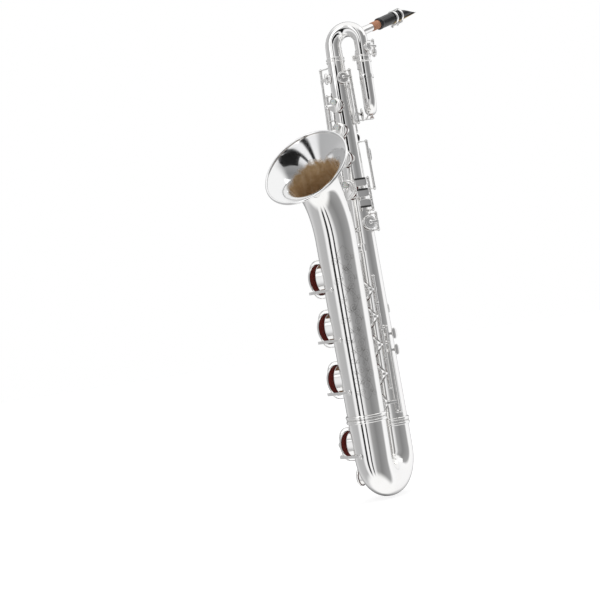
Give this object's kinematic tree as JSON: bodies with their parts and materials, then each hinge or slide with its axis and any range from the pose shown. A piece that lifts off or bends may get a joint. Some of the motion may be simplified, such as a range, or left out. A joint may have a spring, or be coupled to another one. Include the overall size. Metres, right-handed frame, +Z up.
{
  "type": "saxophone",
  "caption": "Low-A baritone saxophone with looped top, hinged pad keys, swivelling neck and mouthpiece.",
  "frame": {"origin": "middle of the bottom of the whole part's bounding box", "axes": "+Z up along the body tube's axis, bell opening towards -Y, neck and mouthpiece towards +Y, player's left hand keys towards +X"},
  "size_m": [0.2284, 0.4936, 1.114],
  "materials": {
    "silver_plate": "gloss",
    "key_silver": "gloss",
    "rod_steel": "satin",
    "pad_leather": "matte",
    "cork": "matte",
    "ebonite": "gloss",
    "reed_cane": "matte"
  },
  "bodies": {
    "horn": {"body_tube": "silver_plate", "bow": "silver_plate", "bell": "silver_plate", "body_bow_ring": "silver_plate", "bell_bow_ring": "silver_plate", "bell_brace": "silver_plate", "upper_bow": "silver_plate", "loop_tube": "silver_plate", "neck_receiver": "silver_plate", "neck_clamp_screw": "key_silver", "lower_stack_rib": "key_silver", "lower_stack_rod": "rod_steel", "upper_stack_rib": "key_silver", "upper_stack_rod": "rod_steel", "bell_key_rib": "key_silver", "guard_low_c": "key_silver", "guard_low_b": "key_silver", "guard_low_bb": "key_silver", "guard_low_a": "key_silver", "side_key_rib": "key_silver", "thumb_hook": "key_silver", "thumb_rest": "ebonite", "strap_ring": "key_silver", "lyre_socket": "key_silver"},
    "neck": {"neck": "silver_plate", "neck_cork": "cork"},
    "mouthpiece": {"mouthpiece": "ebonite", "reed": "reed_cane", "ligature": "key_silver"},
    "d_key": {"d_key": "key_silver"},
    "e_key": {"e_key": "key_silver"},
    "f_key": {"f_key": "key_silver"},
    "fsharp_key": {"fsharp_key": "key_silver"},
    "g_key": {"g_key": "key_silver"},
    "a_key": {"a_key": "key_silver"},
    "b_key": {"b_key": "key_silver"},
    "c_key": {"c_key": "key_silver"},
    "low_c_key": {"low_c_key": "key_silver", "low_c_pad": "pad_leather"},
    "low_b_key": {"low_b_key": "key_silver", "low_b_pad": "pad_leather"},
    "low_bb_key": {"low_bb_key": "key_silver", "low_bb_pad": "pad_leather"},
    "low_a_key": {"low_a_key": "key_silver", "low_a_pad": "pad_leather"},
    "low_csharp_key": {"low_csharp_key": "key_silver"},
    "low_eb_key": {"low_eb_key": "key_silver"},
    "gsharp_key": {"gsharp_key": "key_silver"},
    "side_bb_key": {"side_bb_key": "key_silver"},
    "high_e_key": {"high_e_key": "key_silver"},
    "palm_d_key": {"palm_d_key": "key_silver"},
    "high_f_key": {"high_f_key": "key_silver"},
    "octave_key": {"octave_key": "key_silver"},
    "octave_thumb_lever": {"octave_thumb_lever": "key_silver"},
    "low_a_thumb_lever": {"low_a_thumb_lever": "key_silver"},
    "low_c_touch": {"low_c_touch": "key_silver"},
    "low_b_touch": {"low_b_touch": "key_silver"},
    "low_bb_touch": {"low_bb_touch": "key_silver"},
    "gsharp_touch": {"gsharp_touch": "key_silver"},
    "water_key": {"water_key": "key_silver"}
  },
  "joints": [
    {"name": "neck_swivel", "type": "hinge", "parent": "horn", "child": "neck", "pos_m": [0.02798, 0.07962, 0.98063], "axis": [0, 0, 1], "range_deg": [-35, 35]},
    {"name": "mouthpiece_tuning", "type": "slide", "parent": "neck", "child": "mouthpiece", "axis": [-0.3971, -0.8517, -0.342], "range_m": [-0.01, 0.004]},
    {"name": "d_key_hinge", "type": "hinge", "parent": "horn", "child": "d_key", "pos_m": [0.01394, -0.00744, 0.2659], "axis": [0.0127, -0.0162, -0.9998], "range_deg": [0, 9]},
    {"name": "e_key_hinge", "type": "hinge", "parent": "horn", "child": "e_key", "pos_m": [0.01311, -0.00638, 0.3309], "axis": [0.0127, -0.0162, -0.9998], "range_deg": [0, 9]},
    {"name": "f_key_hinge", "type": "hinge", "parent": "horn", "child": "f_key", "pos_m": [0.0123, -0.00535, 0.39465], "axis": [0.0127, -0.0162, -0.9998], "range_deg": [0, 9]},
    {"name": "fsharp_key_hinge", "type": "hinge", "parent": "horn", "child": "fsharp_key", "pos_m": [0.01153, -0.00435, 0.4559], "axis": [0.0127, -0.0162, -0.9998], "range_deg": [0, 9]},
    {"name": "g_key_hinge", "type": "hinge", "parent": "horn", "child": "g_key", "pos_m": [-0.04919, 0.01582, 0.68737], "axis": [0.0191, 0.0077, 0.9998], "range_deg": [0, 9]},
    {"name": "a_key_hinge", "type": "hinge", "parent": "horn", "child": "a_key", "pos_m": [-0.04782, 0.01637, 0.75912], "axis": [0.0191, 0.0077, 0.9998], "range_deg": [0, 9]},
    {"name": "b_key_hinge", "type": "hinge", "parent": "horn", "child": "b_key", "pos_m": [-0.04658, 0.01687, 0.82412], "axis": [0.0191, 0.0077, 0.9998], "range_deg": [0, 9]},
    {"name": "c_key_hinge", "type": "hinge", "parent": "horn", "child": "c_key", "pos_m": [-0.04546, 0.01732, 0.88237], "axis": [0.0191, 0.0077, 0.9998], "range_deg": [0, 9]},
    {"name": "low_c_key_hinge", "type": "hinge", "parent": "horn", "child": "low_c_key", "pos_m": [-0.04194, -0.0429, 0.21793], "axis": [-0.0045, -0.0228, 0.9997], "range_deg": [0, 12]},
    {"name": "low_b_key_hinge", "type": "hinge", "parent": "horn", "child": "low_b_key", "pos_m": [-0.04218, -0.04416, 0.27307], "axis": [-0.0045, -0.0228, 0.9997], "range_deg": [0, 12]},
    {"name": "low_bb_key_hinge", "type": "hinge", "parent": "horn", "child": "low_bb_key", "pos_m": [-0.04269, -0.04671, 0.38489], "axis": [-0.0045, -0.0228, 0.9997], "range_deg": [0, 12]},
    {"name": "low_a_key_hinge", "type": "hinge", "parent": "horn", "child": "low_a_key", "pos_m": [-0.04318, -0.04921, 0.49487], "axis": [-0.0045, -0.0228, 0.9997], "range_deg": [0, 12]},
    {"name": "low_csharp_key_hinge", "type": "hinge", "parent": "horn", "child": "low_csharp_key", "pos_m": [-0.04857, -0.03946, 0.08106], "axis": [0, 0.766, -0.6428], "range_deg": [0, 12]},
    {"name": "low_eb_key_hinge", "type": "hinge", "parent": "horn", "child": "low_eb_key", "pos_m": [0.02319, 0.00186, 0.25615], "axis": [-0.0167, 0.0121, 0.9998], "range_deg": [0, 12]},
    {"name": "gsharp_key_hinge", "type": "hinge", "parent": "horn", "child": "gsharp_key", "pos_m": [0.02357, 0.03505, 0.60888], "axis": [-0.0204, -0.0029, 0.9998], "range_deg": [0, 10]},
    {"name": "side_bb_key_hinge", "type": "hinge", "parent": "horn", "child": "side_bb_key", "pos_m": [-0.05232, 0.0342, 0.67638], "axis": [0.0204, -0.0025, 0.9998], "range_deg": [0, 12]},
    {"name": "high_e_key_hinge", "type": "hinge", "parent": "horn", "child": "high_e_key", "pos_m": [-0.06503, 0.03576, 0.73467], "axis": [-0.0204, 0.0025, -0.9998], "range_deg": [0, 12]},
    {"name": "palm_d_key_hinge", "type": "hinge", "parent": "horn", "child": "palm_d_key", "pos_m": [0.01694, 0.03074, 0.89936], "axis": [-0.0206, -0.0007, 0.9998], "range_deg": [0, 12]},
    {"name": "high_f_key_hinge", "type": "hinge", "parent": "horn", "child": "high_f_key", "pos_m": [0.0753, 0.05057, 1.00085], "axis": [0.0217, 0.0136, 0.9997], "range_deg": [0, 12]},
    {"name": "octave_key_hinge", "type": "hinge", "parent": "horn", "child": "octave_key", "pos_m": [-0.0069, 0.06221, 0.89439], "axis": [0.005, 0.02, -0.9998], "range_deg": [0, 8]},
    {"name": "octave_thumb_lever_hinge", "type": "hinge", "parent": "horn", "child": "octave_thumb_lever", "pos_m": [-0.00661, 0.06336, 0.83689], "axis": [-0.005, -0.02, 0.9998], "range_deg": [0, 8]},
    {"name": "low_a_thumb_lever_hinge", "type": "hinge", "parent": "horn", "child": "low_a_thumb_lever", "pos_m": [0.02081, 0.05201, 0.741], "axis": [-0.0175, -0.0109, 0.9998], "range_deg": [0, 8]},
    {"name": "low_c_touch_hinge", "type": "hinge", "parent": "horn", "child": "low_c_touch", "pos_m": [0.02159, 0.00303, 0.3524], "axis": [-0.0167, 0.0121, 0.9998], "range_deg": [0, 8]},
    {"name": "low_b_touch_hinge", "type": "hinge", "parent": "horn", "child": "low_b_touch", "pos_m": [0.02243, 0.02569, 0.67263], "axis": [0.0205, -0.0021, -0.9998], "range_deg": [0, 8]},
    {"name": "low_bb_touch_hinge", "type": "hinge", "parent": "horn", "child": "low_bb_touch", "pos_m": [0.02293, 0.02564, 0.64813], "axis": [0.0205, -0.0021, -0.9998], "range_deg": [0, 8]},
    {"name": "gsharp_touch_hinge", "type": "hinge", "parent": "horn", "child": "gsharp_touch", "pos_m": [0.02193, 0.02574, 0.69713], "axis": [0.0205, -0.0021, -0.9998], "range_deg": [0, 8]},
    {"name": "water_key_hinge", "type": "hinge", "parent": "horn", "child": "water_key", "pos_m": [0.02967, 0.05184, 0.84591], "axis": [-0.5026, 0.8645, 0], "range_deg": [0, 10]}
  ],
  "couplings": [
    {"joint": "low_a_key_hinge", "follows": "low_a_thumb_lever_hinge", "ratio": 1.5},
    {"joint": "low_c_key_hinge", "follows": "low_c_touch_hinge", "ratio": 1.5},
    {"joint": "low_b_key_hinge", "follows": "low_b_touch_hinge", "ratio": 1.5},
    {"joint": "low_bb_key_hinge", "follows": "low_bb_touch_hinge", "ratio": 1.5},
    {"joint": "gsharp_key_hinge", "follows": "gsharp_touch_hinge", "ratio": 1.25},
    {"joint": "fsharp_key_hinge", "follows": "f_key_hinge", "ratio": 1},
    {"joint": "octave_key_hinge", "follows": "octave_thumb_lever_hinge", "ratio": 1}
  ]
}
